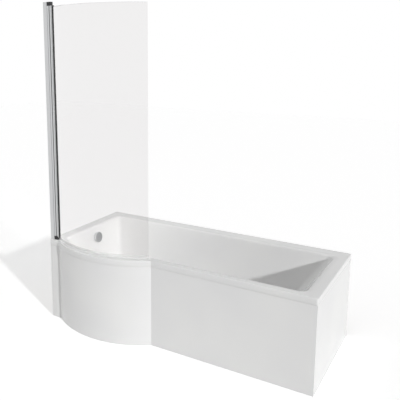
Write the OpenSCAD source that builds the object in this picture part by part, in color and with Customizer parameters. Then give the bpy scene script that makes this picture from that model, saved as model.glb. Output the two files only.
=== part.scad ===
// Left hand P shaped shower bath: a moulded tub on levelling feet, a bowed front panel
// and an end panel, a pop-up waste worked by a turning overflow knob, and a curved
// glass screen that swings on two pivots beside the wall.
// X runs along the bath to its narrow end, Y runs back to the wall and Z up from the
// floor. The origin is on the floor in the middle of the whole outline.

/* [Tub outline] */
// Length along the wall
bath_l = 1675; // [1640:5:1800]
// Width of the narrow end, wall to straight front
bath_w = 700; // [680:5:750]
// How far the bow stands in front of the straight front
bow_out = 115; // [105:1:125]
// Radius of the bow's rim
bow_r = 572; // [560:1:590]
// Centre of the bow, from the left end
bow_x = 395; // [380:1:420]
// How far the flat strip left of the bow stands forward
strip_out = 15; // [8:1:22]
// Height of the rim above the floor
rim_h = 512; // [500:1:560]
// Depth of the well below the rim
well_d = 385; // [360:1:395]
// Thickness of the moulded wall
shell_t = 5; // [4:0.5:7]

/* [Rim] */
// Height of the rim's turned down lip
lip_h = 36; // [30:1:45]
// Flat rim width at the left end
rim_left = 66; // [60:1:75]
// Flat rim width at the narrow end
rim_right = 43; // [40:1:60]
// Flat rim width along the wall
rim_back = 75; // [60:1:85]
// Flat rim width along the straight front
rim_front = 36; // [35:1:50]
// Flat rim width round the bow
rim_bow = 50; // [48:1:60]
// Height of the roll from the rim into the well
roll_h = 12; // [8:1:16]
// Width of that roll at the backrest
roll_right = 28; // [15:1:35]
// Radius of the rim's outer edge
edge_r = 4; // [2:0.5:6]
// Radius of the rim's outer corners
rim_corner = 12; // [10:1:20]

/* [Well] */
// Lean of the left, back, front and bow walls, from upright
wall_lean = 8; // [5:0.5:10]
// Lean of the backrest, from upright
rest_lean = 35; // [28:1:38]
// Radius between walls and floor of the well
floor_r = 70; // [50:1:80]
// Corner radius of the well at the left, beside the wall
corner_lr = 30; // [25:1:45]
// Corner radius of the well at the left, beside the bow
corner_lf = 70; // [60:1:90]
// Corner radius of the well at the narrow end's front
corner_rf = 62; // [45:1:80]
// Corner radius of the well at the narrow end's back
corner_rr = 45; // [30:1:60]
// Radius where the bow runs into the straight front, inside the well
crease_in = 90; // [60:1:120]

/* [Panels] */
// Thickness of the panels
panel_t = 3; // [2.5:0.5:4]
// How far the panels stand back from the rim's lip
panel_back = 3; // [2:0.5:4]
// Joint between the lip and the panels
panel_joint = 1.5; // [1:0.5:3]
// Height of the tongue that stands up behind the lip
tongue_h = 22; // [15:1:26]

/* [Battens and base] */
// Width of the battens under the rim
batten_w = 22; // [18:1:24]
// Thickness of the battens under the rim
batten_t = 18; // [15:1:20]
// Width of the battens on the floor
plinth_w = 25; // [20:1:30]
// Height of the battens on the floor
plinth_h = 38; // [30:1:50]
// Thickness of the base board
board_t = 18; // [15:1:20]

/* [Legs] */
// Height of the pressed steel cradles
cradle_h = 25; // [20:1:28]
// Width of a cradle's channel
cradle_w = 40; // [36:1:46]
// Thickness of the cradle's steel
cradle_t = 2.5; // [2:0.5:3]
// Left cradle, from the left end
cradle_left_x = 430; // [400:5:480]
// Right cradle, from the right end
cradle_right_x = 560; // [500:5:620]
// Radius of the threaded studs
stud_r = 5; // [4:0.5:6]
// Radius of the foot pads
pad_r = 24; // [20:1:28]
// Height of the foot pads
pad_h = 12; // [10:1:14]

/* [Waste and overflow] */
// Waste, from the left end
waste_x = 290; // [280:1:300]
// Waste and overflow, from the wall
waste_from_wall = 350; // [330:1:370]
// Radius of the waste's tail, 1 1/2 inch pipe thread
tail_r = 23.9; // [23:0.1:25]
// Length of the waste's tail
tail_l = 24; // [18:1:26]
// Radius of the waste's flange in the well
flange_r = 35; // [34:0.5:38]
// Travel of the plug
plug_lift = 12; // [8:0.5:12]
// Overflow below the rim
overflow_down = 77; // [70:1:90]
// Radius of the overflow knob
knob_r = 35; // [32:0.5:38]
// Radius of the overflow pipe
pipe_r = 17.5; // [15:0.5:18]

/* [Screen] */
// Height of the screen above the rim
screen_h = 1440; // [1390:5:1500]
// Thickness of the glass
glass_t = 6; // [5:0.5:8]
// Height of the glass
glass_h = 1396; // [1350:1:1400]
// Gap under the glass, filled by the seal
glass_gap = 14; // [12:1:18]
// Pivot, from the left wall
pivot_x = 50; // [48:0.5:56]
// Pivot, behind the straight front
pivot_y = 10; // [6:0.5:14]
// Glass span, pivot to free edge
glass_span = 667; // [640:1:690]
// How far the glass stands back from the bow's outermost edge
glass_back = 22; // [18:1:28]
// Width of the wall channel
channel_w = 24; // [22:0.5:28]
// Depth of the wall channel
channel_d = 28; // [24:0.5:32]
// Radius of the hinge barrel
barrel_r = 9; // [8:0.25:10]
// Radius of the pivot pins
pin_r = 4; // [3:0.25:5]

/* [Hidden] */
$fn = 64;

// Clearances
fit = 0.05;      // shaft in its bore, on the radius
gap = 0.3;       // pieces that lie beside each other
over = 1;        // how far a cut runs past a face

// Plan of the whole bath
depth = bath_w + bow_out;
xl = -bath_l / 2;
xr = bath_l / 2;
yw = depth / 2;
yf = yw - bath_w;
bow_c = [xl + bow_x, yf - bow_out + bow_r];
crease_r = 4;          // outside radius where the bow meets the straight front
strip_r = 12;          // outside radius where the flat strip meets the bow

// Points along an arc of n points
function arc_pts(c, r, a0, a1, n) =
  [for (k = [0 : n - 1]) let (a = a0 + (a1 - a0) * k / (n - 1)) c + r * [cos(a), sin(a)]];
function angle_of(v) = let (a = atan2(v[1], v[0])) a < 0 ? a + 360 : a;

n_corner = 7;
n_strip = 5;
n_blend = 4;
n_bow = 34;
n_crease = 6;

// Centre of a circle of radius r outside the bow that touches it and the line y = f,
// on the given side of the bow
function crease_c(r, bow, f, side) =
  [bow_c[0] + side * sqrt(pow(bow + r, 2) - pow(bow_c[1] - f + r, 2)), f - r];

// Outer outline of the rim, set in by i
function rim_ring(i) =
  let (rc = max(rim_corner - i, 1), bow = bow_r - i, f = yf + i, s = yf - strip_out + i,
       g = crease_c(crease_r + i, bow, f, 1), h = crease_c(strip_r + i, bow, s, -1),
       ah = angle_of(h - bow_c), ag = angle_of(g - bow_c))
  concat(
    arc_pts([xl + i + rc, yw - i - rc], rc, 90, 180, n_corner),
    arc_pts([xl + i + rc, s + rc], rc, 180, 270, n_strip),
    arc_pts(h, strip_r + i, 90, ah - 180, n_blend),
    arc_pts(bow_c, bow, ah, ag, n_bow),
    arc_pts(g, crease_r + i, ag - 180, 90, n_crease),
    arc_pts([xr - i - rc, f + rc], rc, 270, 360, n_corner),
    arc_pts([xr - i - rc, yw - i - rc], rc, 0, 90, n_corner));

// Outline of the well with its sides set in by [left, right, back, front, bow] and its
// corners rounded by grow more than at the rim
function well_ring(set, grow) =
  let (a = xl + set[0], b = xr - set[1], t = yw - set[2], f = yf + set[3],
       bow = bow_r - set[4], r1 = corner_lr + grow, r2 = corner_lf + grow,
       r3 = corner_rf + grow, r4 = corner_rr + grow, r5 = crease_in - grow,
       h = [a + r2, bow_c[1] - sqrt(pow(bow - r2, 2) - pow(bow_c[0] - a - r2, 2))],
       g = crease_c(r5, bow, f, 1), ah = angle_of(h - bow_c), ag = angle_of(g - bow_c))
  concat(
    arc_pts([a + r1, t - r1], r1, 90, 180, n_corner),
    arc_pts(h, r2, 180, ah, n_strip + n_blend),
    arc_pts(bow_c, bow, ah, ag, n_bow),
    arc_pts(g, r5, ag - 180, 90, n_crease),
    arc_pts([b - r3, f + r3], r3, 270, 360, n_corner),
    arc_pts([b - r4, t - r4], r4, 0, 90, n_corner));

// How far each side of the well is set in from the rim's outline at depth d below the
// rim, with roll and bottom the shares of the roll and of the floor radius that are done
function well_set(d, roll, bottom) =
  let (e = floor_r * bottom, w = d * tan(wall_lean))
  [rim_left + roll_h * roll + w + e, rim_right + roll_right * roll + d * tan(rest_lean) + e,
   rim_back + roll_h * roll + w + e, rim_front + roll_h * roll + w + e,
   rim_bow + roll_h * roll + w + e];
function add_all(v, n) = [for (x = v) x + n];

// One level of the well: the face at turn a of the floor radius, or of the rim's roll,
// moved out by t square to itself
function floor_level(a, t) =
  let (d = well_d - floor_r * (1 - sin(a)))
  [well_ring(add_all(well_set(d, 1, 1 - cos(a)), -t * cos(a)), floor_grow * sin(a) + t * cos(a)),
   rim_h - d - t * sin(a)];
function roll_level(b, t) =
  let (d = roll_h * (1 - cos(b)))
  [well_ring(add_all(well_set(d, sin(b), 0), -t * sin(b)), t * sin(b)), rim_h - d - t * cos(b)];

floor_grow = 20;       // extra corner radius at the floor of the well
lip_z = rim_h - lip_h;
floor_steps = [90 : -15 : 0];
roll_steps = [90 : -22.5 : 0];
levels = concat(
  [for (a = floor_steps) floor_level(a, 0)],
  [for (b = roll_steps) roll_level(b, 0)],
  [for (a = [90 : -30 : 0]) [rim_ring(edge_r * (1 - cos(90 - a))), rim_h - edge_r * (1 - sin(a))]],
  [[rim_ring(0), lip_z], [rim_ring(shell_t), lip_z], [rim_ring(shell_t), rim_h - shell_t]],
  [for (b = [0 : 22.5 : 90]) roll_level(b, shell_t)],
  [for (a = [0 : 15 : 90]) floor_level(a, shell_t)]);

// Skin through a stack of levels, closed by the first and the last
module skin(levels) {
  n = len(levels[0][0]);
  m = len(levels);
  polyhedron(
    points = [for (l = levels) for (p = l[0]) [p[0], p[1], l[1]]],
    faces = concat(
      [[for (i = [0 : n - 1]) n - 1 - i]],
      [for (k = [0 : m - 2]) for (i = [0 : n - 1]) let (j = (i + 1) % n)
        each [[k * n + i, k * n + j, (k + 1) * n + j], [k * n + i, (k + 1) * n + j, (k + 1) * n + i]]],
      [[for (i = [0 : n - 1]) (m - 1) * n + i]]));
}

// Plan of the rim as a flat shape, set in by i
module plan(i) {
  bow = bow_r - i;
  translate([xl + i, yf + i]) square([bath_l - 2 * i, bath_w - 2 * i]);
  translate([xl + i, yf - strip_out + i]) square([strip_l(i), strip_out + over]);
  intersection() {
    translate(bow_c) circle(bow, $fn = 360);
    translate([xl + i, yf - bow_out]) square([bow_c[0] - xl - i + bow, bow_out + i + over]);
  }
}
// Length of the flat strip, up to inside the bow
function strip_l(i) = bow_c[0] - xl - i
  - sqrt(pow(bow_r - i, 2) - pow(bow_c[1] - yf + strip_out - i, 2)) + 2;

// Hollow upright wall that follows the plan, between two set-ins
module plan_wall(i, t, z, h) {
  translate([0, 0, z]) linear_extrude(h) difference() {
    plan(i);
    plan(i + t);
  }
}

floor_z = rim_h - well_d;
under_z = floor_z - shell_t;
board_z = under_z - board_t;
cradle_z = board_z - cradle_h;
floor_set = well_set(well_d, 1, 1);

waste_p = [xl + waste_x, yw - waste_from_wall, floor_z];
waste_hole = 26;
overflow_hole = 21;
overflow_z = rim_h - overflow_down;
overflow_p = [xl + well_set(overflow_down, 1, 0)[0], yw - waste_from_wall, overflow_z];

// Places children with z square to the left wall of the well, pointing into it
module at_overflow() translate(overflow_p) rotate([0, 90 - wall_lean, 0]) children();

module bath_shell() color("white") difference() {
  skin(levels);
  translate([waste_p[0], waste_p[1], under_z - over]) cylinder(h = shell_t + 2 * over, r = waste_hole);
  at_overflow() translate([0, 0, -3 * shell_t]) cylinder(h = 5 * shell_t, r = overflow_hole);
}

// --- Battens, base board and legs ---
batten_in = shell_t + gap + panel_t + 3.4;   // clear of the panel's tongue and its clips
batten_z = rim_h - shell_t - batten_t;
crease_x = bow_c[0] + sqrt(pow(bow_r, 2) - pow(bow_c[1] - yf, 2));

module rim_battens() color("burlywood") {
  // along the straight front, the narrow end, the wall and the left end
  translate([crease_x + 10, yf + batten_in, batten_z])
    cube([xr - crease_x - 10 - batten_in, batten_w, batten_t]);
  translate([xr - batten_in - batten_w, yf + batten_in + batten_w + gap, batten_z])
    cube([batten_w, bath_w - 2 * batten_in - 2 * batten_w - 2 * gap, batten_t]);
  translate([xl + batten_in, yw - batten_in - batten_w, batten_z])
    cube([bath_l - 2 * batten_in, batten_w, batten_t]);
  translate([xl + batten_in, yf + batten_in + batten_w + gap, batten_z])
    cube([batten_w, bath_w - 2 * batten_in - 2 * batten_w - 2 * gap, batten_t]);
}

// Plywood ring segment under the bow's rim
module bow_segment(r, w, z, h, a) translate([bow_c[0], bow_c[1], z])
  rotate([0, 0, 270 - a]) rotate_extrude(angle = 2 * a, $fn = 360) translate([r - w, 0]) square([w, h]);
bow_batten_a = 32;
module bow_batten() color("burlywood")
  bow_segment(bow_r - batten_in, batten_w, batten_z, batten_t, bow_batten_a);

// Flat part of the well's floor, set in by i
module floor_plan(i) {
  x0 = xl + floor_set[0] + corner_lf;
  intersection() {
    translate([xl + floor_set[0] + i, yf - bow_out])
      square([bath_l - floor_set[0] - floor_set[1] - 2 * i, depth - floor_set[2] - i]);
    union() {
      translate([x0, yf + floor_set[3] + i]) square([bath_l, bath_w]);
      translate([xl, bow_c[1] - bow_r / 3]) square([bath_l, bath_w]);
      translate(bow_c) circle(bow_r - floor_set[4] - i, $fn = 180);
    }
  }
}

board_in = 15;         // board's edge inside the floor's flat part
board_hole = 58;       // cut-out round the waste
screw_r = 2;
screw_l = 15;
screw_head = 2.4;      // height of a screw's tapered head
cradle_flange = 16;
cradle_left = xl + cradle_left_x;
cradle_right = xr - cradle_right_x;
cradle_in_f = [110, 150];                     // cradle ends from the straight front, under the floor
cradle_in_b = 110;     // cradle ends from the back wall
cradle_front = [for (d = cradle_in_f) yf + d];
cradle_back = [for (d = cradle_in_f) yw - cradle_in_b];
foot_in = 40;          // foot from the cradle's end
cradle_xs = [cradle_left, cradle_right];

// Foot places, and the places of the cradles' screws
feet = [for (k = [0, 1]) each [[cradle_xs[k], cradle_front[k] + foot_in],
                               [cradle_xs[k], cradle_back[k] - foot_in]]];
cradle_mid = [for (k = [0, 1]) (cradle_front[k] + cradle_back[k]) / 2];
screw_pitch = 120;
screw_side = cradle_w / 2 + cradle_flange / 2;
cradle_screw_ps = [for (k = [0, 1]) for (s = [-1, 1]) for (j = [-1, 0, 1])
  [cradle_xs[k] + s * screw_side, cradle_mid[k] + j * screw_pitch]];

module base_board() color("peru") difference() {
  translate([0, 0, board_z]) linear_extrude(board_t) difference() {
    floor_plan(board_in);
    translate([waste_p[0], waste_p[1]]) circle(board_hole);
    translate([waste_p[0] - 2 * board_hole, waste_p[1] - board_hole]) square([2 * board_hole, 2 * board_hole]);
  }
  for (p = cradle_screw_ps) translate([p[0], p[1], board_z - over])
    cylinder(h = screw_l - cradle_t + 2 * over, r = screw_r + fit);
}

// Pressed steel hat channel: a web below, two sides and two screwed flanges
module cradle(k) color("silver") difference() {
  translate([cradle_xs[k], cradle_front[k], cradle_z]) {
    l = cradle_back[k] - cradle_front[k];
    translate([-cradle_w / 2, 0, 0]) cube([cradle_w, l, cradle_t]);
    for (s = [-1, 1]) {
      translate([s * (cradle_w - cradle_t) / 2 - cradle_t / 2, 0, 0]) cube([cradle_t, l, cradle_h]);
      translate([s * screw_side - cradle_flange / 2, 0, cradle_h - cradle_t])
        cube([cradle_flange, l, cradle_t]);
    }
  }
  for (p = feet) translate([p[0], p[1], cradle_z - over]) cylinder(h = cradle_t + 2 * over, r = stud_r + fit);
  for (p = cradle_screw_ps) translate([p[0], p[1], board_z - cradle_t - over])
    cylinder(h = cradle_t + 2 * over, r = screw_r + gap);
}
module cradle_left() cradle(0);
module cradle_right() cradle(1);

module cradle_screws() color("gray") for (p = cradle_screw_ps)
  translate([p[0], p[1], board_z - cradle_t]) {
    cylinder(h = screw_l, r = screw_r);
    translate([0, 0, -screw_head]) cylinder(h = screw_head, r1 = screw_r * 1.4, r2 = screw_r * 2);
  }

nut_t = 1.6 * stud_r;
nut_r = 2 * stud_r;
module hex_nut(p, z) translate([p[0], p[1], z]) difference() {
  cylinder(h = nut_t, r = nut_r, $fn = 6);
  translate([0, 0, -over]) cylinder(h = nut_t + 2 * over, r = stud_r + fit);
}
module insert_nuts() color("silver") for (p = feet) hex_nut(p, cradle_z + cradle_t);
module lock_nuts() color("silver") for (p = feet) hex_nut(p, cradle_z - nut_t);

stud_in = 5;           // how deep a stud sits in its pad
stud_top = board_z - 4;
module stud(k) color("silver") translate([feet[k][0], feet[k][1], pad_h - stud_in]) {
  cylinder(h = stud_top - pad_h + stud_in - 1, r = stud_r);
  translate([0, 0, stud_top - pad_h + stud_in - 1]) cylinder(h = 1, r1 = stud_r, r2 = stud_r - 1);
}
module pad(k) color("dimgray") translate([feet[k][0], feet[k][1], 0]) difference() {
  rotate_extrude() polygon([[0, 0], [pad_r, 0], [pad_r, pad_h * 0.3], [stud_r * 2, pad_h * 0.6],
    [stud_r * 2, pad_h], [0, pad_h]]);
  translate([0, 0, pad_h - stud_in]) cylinder(h = stud_in + over, r = stud_r + fit);
}
module stud_left_front() stud(0);
module stud_left_back() stud(1);
module stud_right_front() stud(2);
module stud_right_back() stud(3);
module pad_left_front() pad(0);
module pad_left_back() pad(1);
module pad_right_front() pad(2);
module pad_right_back() pad(3);

// --- Panels ---
panel_top = lip_z - panel_joint;
tongue_in = shell_t + gap;                    // tongue's outer face, behind the lip
tongue_z = panel_top - panel_t;
tongue_top = lip_z + tongue_h;
panel_in = panel_back + panel_t;
end_y = yf + panel_in + gap;                  // the end panel starts behind the front panel

bottom_return = 14;    // flange turned in along the floor
corner_clear = rim_corner + 10;               // tongue stops here, before the lip's round corners
// Profile of a panel run along the plan: face, step, tongue and floor flange
module panel_run() difference() {
  union() {
    plan_wall(panel_back, panel_t, 0, panel_top);
    plan_wall(panel_back, tongue_in + panel_t - panel_back, tongue_z, panel_t);
    plan_wall(tongue_in, panel_t, tongue_z, tongue_top - tongue_z);
    plan_wall(panel_back, bottom_return, 0, panel_t);
  }
  for (p = [[xl, yf - strip_out], [xr - corner_clear, yf], [xr - corner_clear, yw - corner_clear]])
    translate([p[0], p[1], panel_top]) cube([corner_clear, corner_clear, tongue_h * 2]);
}

end_in = 30;           // depth of the end panel's flanges
module front_panel() color("white") difference() {
  intersection() {
    panel_run();
    translate([xl, yf - bow_out - over, -over])
      cube([bath_l - panel_back, bow_out + over + panel_in + bottom_return, rim_h]);
  }
  // leaves room for the end panel and its tongue
  translate([xr - panel_back - end_in - gap, yf + panel_in, -over]) cube([end_in * 2, bath_w, rim_h]);
  translate([xr - panel_back - end_in - gap, yf - over, panel_top]) cube([end_in * 2, bath_w, rim_h]);
}
module end_panel() color("white") difference() {
  intersection() {
    panel_run();
    translate([xr - panel_back - end_in, end_y, -over]) cube([end_in + panel_back, bath_w, rim_h]);
  }
  // open at the back, where it meets the wall
  translate([xr - bath_w, yw - bottom_return - panel_back, -over])
    cube([bath_w - panel_in - gap, bottom_return * 2, rim_h]);
}

// --- Clips, floor battens and wall brackets ---
clip_t = 1.2;
clip_w = 24;
clip_xs = [crease_x + 120, (crease_x + xr) / 2 + 40, xr - 130];
// A clip hangs from the batten and holds the tongue against the lip
module clip() {
  translate([-clip_w / 2, tongue_in + panel_t + gap, batten_z - clip_t]) cube([clip_w, clip_t, batten_t / 2]);
  translate([-clip_w / 2, tongue_in + panel_t + gap, batten_z - clip_t])
    cube([clip_w, batten_in - tongue_in - panel_t + batten_w / 2, clip_t]);
}
module panel_clips() color("silver") {
  for (x = clip_xs) translate([x, yf, 0]) clip();
  for (y = [yf + bath_w / 4, yf + bath_w * 3 / 4]) translate([xr, y, 0]) rotate([0, 0, 90]) clip();
}

module plinth_battens() color("burlywood") {
  z = panel_t;
  translate([crease_x + 15, yf + panel_in + gap, z])
    cube([xr - crease_x - 15 - panel_in - gap, plinth_w, plinth_h]);
  translate([xr - panel_in - gap - plinth_w, yf + panel_in + plinth_w + 2 * gap, z])
    cube([plinth_w, bath_w - panel_in - plinth_w - bottom_return * 2, plinth_h]);
  bow_segment(bow_r - panel_in - gap, plinth_w, z, plinth_h, bow_batten_a);
}

bracket_w = 50;
bracket_t = 3;
bracket_x = 330;       // strap from the bath's end
bracket_xs = [xl + bracket_x, xr - bracket_x];
bracket_hole_r = 3.5;
bracket_drop = 34;     // hole below the lip
bracket_tab = 22;      // strap below its hole
bracket_z = lip_z - bracket_drop;
// Stepped steel strap from the wall, under the lip, to the batten at the wall
module wall_brackets() color("silver") for (x = bracket_xs) difference() {
  translate([x - bracket_w / 2, 0, 0]) {
    translate([0, yw - bracket_t, bracket_z - bracket_tab])
      cube([bracket_w, bracket_t, lip_z - gap - bracket_z + bracket_tab]);
    translate([0, yw - batten_in, lip_z - gap - bracket_t]) cube([bracket_w, batten_in, bracket_t]);
    translate([0, yw - batten_in, lip_z - gap - bracket_t])
      cube([bracket_w, bracket_t, batten_z - lip_z + gap + bracket_t]);
    translate([0, yw - batten_in - batten_w, batten_z - bracket_t]) cube([bracket_w, batten_w + bracket_t, bracket_t]);
  }
  translate([x, yw + over, bracket_z]) rotate([90, 0, 0]) cylinder(h = bracket_t + 2 * over, r = bracket_hole_r);
}

// --- Pop-up waste ---
seal_t = 1.5;
under_seal_t = 3;
flange_t = 3.5;
neck_r = 22.5;
neck_wall = 2.5;
neck_l = 22;           // how far the neck reaches into the chamber
guide_h = 10;          // height of the guide that the stem slides in
spoke_w = 2.5;
spoke_h = 6;
body_flange_r = 40;
chamber_r = 30;
wall_t = 3;
body_top = under_z - under_seal_t;
chamber_h = 50;
chamber_z = body_top - chamber_h;
tail_z = chamber_z - tail_l;
flange_z = floor_z + seal_t;
stem_r = 3;
boss_r = 6;
plug_r = flange_r - 7;
plug_t = 3;
plug_lip = 2;          // thickness of the plug's rolled edge
seat_z = flange_z + 1.2;                      // ledge that the plug's seal comes down on
plug_seal_t = 2;
plug_z = seat_z + gap + plug_seal_t;
lever_z = chamber_z + 12;
lever_l = 34;
lever_w = 6;
lever_t = 4;
lever_tip = 2.5;       // radius of the lever's end, under the stem
lever_turn = asin(plug_lift / (2 * lever_l));
stem_low = lever_z - lever_l * sin(lever_turn) + lever_tip + gap;

guide_z = body_top - 12;
module at_waste() translate([waste_p[0], waste_p[1], 0]) children();

module waste_flange() color("gainsboro") at_waste() {
  rotate_extrude() polygon([[flange_r, flange_z], [flange_r - 1.5, flange_z + flange_t - 0.8],
    [flange_r - 3, flange_z + flange_t], [plug_r + 1, flange_z + flange_t], [plug_r + 1, seat_z],
    [neck_r - neck_wall, seat_z], [neck_r - neck_wall, body_top - neck_l], [neck_r, body_top - neck_l],
    [neck_r, flange_z]]);
  // guide for the stem, on three spokes
  difference() {
    union() {
      translate([0, 0, guide_z]) cylinder(h = guide_h, r = boss_r);
      for (a = [30 : 120 : 270]) rotate([0, 0, a]) translate([0, -spoke_w / 2, guide_z + 1])
        cube([neck_r - neck_wall / 2, spoke_w, spoke_h]);
    }
    translate([0, 0, guide_z - over]) cylinder(h = guide_h + 2 * over, r = stem_r + fit);
  }
}
module washer(r0, r1, z, h) at_waste() translate([0, 0, z]) difference() {
  cylinder(h = h, r = r1);
  translate([0, 0, -over]) cylinder(h = h + 2 * over, r = r0);
}
module waste_top_seal() color("dimgray") washer(neck_r + gap, flange_r - 2, floor_z, seal_t);
module waste_under_seal() color("dimgray") washer(neck_r + gap, body_flange_r - 2, body_top, under_seal_t);

socket_r = pipe_r + 0.1;                      // bore that the pipe is pushed into
socket_l = 20;
branch_r = socket_r + wall_t;
branch_z = chamber_z + branch_r + 0.5;        // just over the end of the tail's thread
branch_l = 62;         // branch's mouth, from the waste's centre
pocket_x = lever_l + 10;                      // pocket beside the chamber that holds the lever's pin
pocket_y = 9;
pocket_h = 26;
lever_pin_r = 1.5;
module waste_body() color("whitesmoke") at_waste() difference() {
  union() {
    translate([0, 0, body_top - 4]) cylinder(h = 4, r = body_flange_r);
    translate([0, 0, chamber_z]) cylinder(h = body_top - chamber_z, r = chamber_r);
    translate([0, 0, tail_z]) cylinder(h = tail_l + over, r = tail_r);
    translate([-branch_l, 0, branch_z]) rotate([0, 90, 0]) cylinder(h = branch_l, r = branch_r);
    translate([0, -pocket_y, chamber_z]) cube([pocket_x, 2 * pocket_y, pocket_h]);
  }
  translate([0, 0, chamber_z + wall_t]) cylinder(h = chamber_h, r = chamber_r - wall_t);
  translate([0, 0, tail_z - over]) cylinder(h = tail_l + 3 * wall_t, r = tail_r - wall_t);
  translate([-branch_l - over, 0, branch_z]) rotate([0, 90, 0]) cylinder(h = socket_l + over, r = socket_r);
  translate([-branch_l - over, 0, branch_z]) rotate([0, 90, 0]) cylinder(h = branch_l, r = pipe_r - wall_t);
  translate([0, -pocket_y + wall_t, chamber_z + wall_t])
    cube([pocket_x - wall_t, 2 * (pocket_y - wall_t), pocket_h - 2 * wall_t]);
  translate([lever_l, pocket_y + over, lever_z]) rotate([90, 0, 0])
    cylinder(h = 2 * (pocket_y + over), r = lever_pin_r + fit);
}

module waste_plug() color("gainsboro") at_waste() difference() {
  rotate_extrude() polygon([[0, plug_z], [plug_r - 0.5, plug_z], [plug_r, plug_z + 0.5],
    [plug_r, plug_z + plug_lip], [plug_r - 1, plug_z + plug_t], [plug_r / 2, plug_z + plug_t + 1.6],
    [0, plug_z + plug_t + 2]]);
  translate([0, 0, plug_z - over]) cylinder(h = plug_t + over, r = stem_r + fit);
}
module plug_seal() color("black") washer(stem_r + 3, plug_r - 1.5, seat_z + gap, plug_seal_t);
module plug_stem() color("gainsboro") at_waste() {
  translate([0, 0, stem_low]) cylinder(h = plug_z + plug_t - 0.1 - stem_low, r = stem_r);
  translate([0, 0, plug_z - 1.5]) cylinder(h = 1.5, r = stem_r + 2.5);
}

// Lever that raises the stem, drawn with the plug down
module lift_lever() color("gainsboro") at_waste() translate([lever_l, 0, lever_z])
  rotate([0, -lever_turn, 0]) difference() {
    union() {
      rotate([90, 0, 0]) cylinder(h = lever_w, r = 4, center = true);
      translate([-lever_l, -lever_w / 2, -lever_t / 2]) cube([lever_l, lever_w, lever_t]);
      translate([-lever_l, 0, 0]) rotate([90, 0, 0]) cylinder(h = lever_w, r = lever_tip, center = true);
    }
    rotate([90, 0, 0]) cylinder(h = lever_w + 2 * over, r = lever_pin_r + fit, center = true);
  }
module lever_pin() color("silver") at_waste() translate([lever_l, 0, lever_z]) rotate([90, 0, 0])
  cylinder(h = 2 * pocket_y, r = lever_pin_r, center = true);

// --- Overflow, drawn along the z of at_overflow ---
skin_t = shell_t * cos(wall_lean);            // wall measured square to itself
oseal_t = 2;
obody_flange = 4;
obody_d = 26;
spindle_r = 4;
oneck_r = 17;
obody_r = 26;
back_w = -skin_t - oseal_t - obody_flange - obody_d;

module overflow_body() color("whitesmoke") difference() {
  union() {
    at_overflow() {
      translate([0, 0, -skin_t - oseal_t - obody_flange]) cylinder(h = obody_flange, r = obody_r + 5);
      translate([0, 0, back_w]) cylinder(h = obody_d + 1, r = obody_r);
    }
    translate([pipe_x, overflow_p[1], pipe_top - socket_l]) cylinder(h = socket_l + 10, r = branch_r);
  }
  at_overflow() {
    translate([0, 0, back_w + 8]) cylinder(h = obody_d + obody_flange, r = oneck_r + gap);
    translate([0, 0, back_w - over]) cylinder(h = obody_d, r = spindle_r + fit);
  }
  translate([pipe_x, overflow_p[1], pipe_top - socket_l - over]) cylinder(h = socket_l + over, r = socket_r);
  translate([pipe_x, overflow_p[1], pipe_top - over]) cylinder(h = 12, r = pipe_r - wall_t);
}
module oring(r0, r1, z, h) at_overflow() translate([0, 0, z]) difference() {
  cylinder(h = h, r = r1);
  translate([0, 0, -over]) cylinder(h = h + 2 * over, r = r0);
}
module overflow_seal() color("dimgray")
  oring(oneck_r + gap, obody_r + 4, -skin_t - oseal_t + fit, oseal_t - 2 * fit);
module overflow_ring() color("gainsboro") at_overflow() rotate_extrude() polygon([
  [oneck_r - 3, -skin_t - 10], [oneck_r, -skin_t - 10], [oneck_r, gap / 3], [knob_r - 3, gap / 3],
  [knob_r - 3.5, 2.5], [oneck_r - 3, 2.5]]);
knob_lift = 6;         // water gap behind the knob
knob_t = 13;
module overflow_knob() color("gainsboro") at_overflow() {
  translate([0, 0, knob_lift]) rotate_extrude() polygon([[0, 0], [knob_r - 2, 0], [knob_r, 1.5],
    [knob_r, knob_t - 3], [knob_r - 3, knob_t], [0, knob_t]]);
  translate([0, 0, back_w + 0.5]) cylinder(h = knob_lift - back_w, r = spindle_r);
}

// Pipe from the overflow down and round to the waste's branch
pipe_wall = 2.5;
pipe_bend = 55;
pipe_x = overflow_p[0] - (skin_t + oseal_t + obody_flange + obody_d / 2 + 2) * cos(wall_lean);
pipe_top = overflow_p[2] - obody_r - 6;
module tube_section() difference() {
  circle(pipe_r);
  circle(pipe_r - pipe_wall);
}
module overflow_pipe() color("whitesmoke") {
  translate([pipe_x, overflow_p[1], branch_z + pipe_bend])
    linear_extrude(pipe_top - branch_z - pipe_bend - gap) tube_section();
  translate([pipe_x + pipe_bend, overflow_p[1], branch_z + pipe_bend]) rotate([90, 0, 0]) rotate([0, 0, 180])
    rotate_extrude(angle = 90) translate([pipe_bend, 0]) tube_section();
  translate([pipe_x + pipe_bend, overflow_p[1], branch_z]) rotate([0, 90, 0])
    linear_extrude(waste_p[0] - branch_l + socket_l - gap - pipe_x - pipe_bend) tube_section();
}

// --- Screen: fixed side ---
pivot = [xl + pivot_x, yf + pivot_y];
screen_top = rim_h + screen_h;
bracket_h = 22;        // height of each pivot bracket
post_w = channel_w - 6;
post_gap = 0.4;
channel_t = 2;
post_x0 = channel_t + 4;
post_x1 = pivot_x - barrel_r - gap;           // face of the post beside the barrel
wall_screw_r = 2.5;
wall_screw_pitch = 650;

// Places children at the pivot's axis
module at_pivot() translate([pivot[0], pivot[1], 0]) children();

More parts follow.
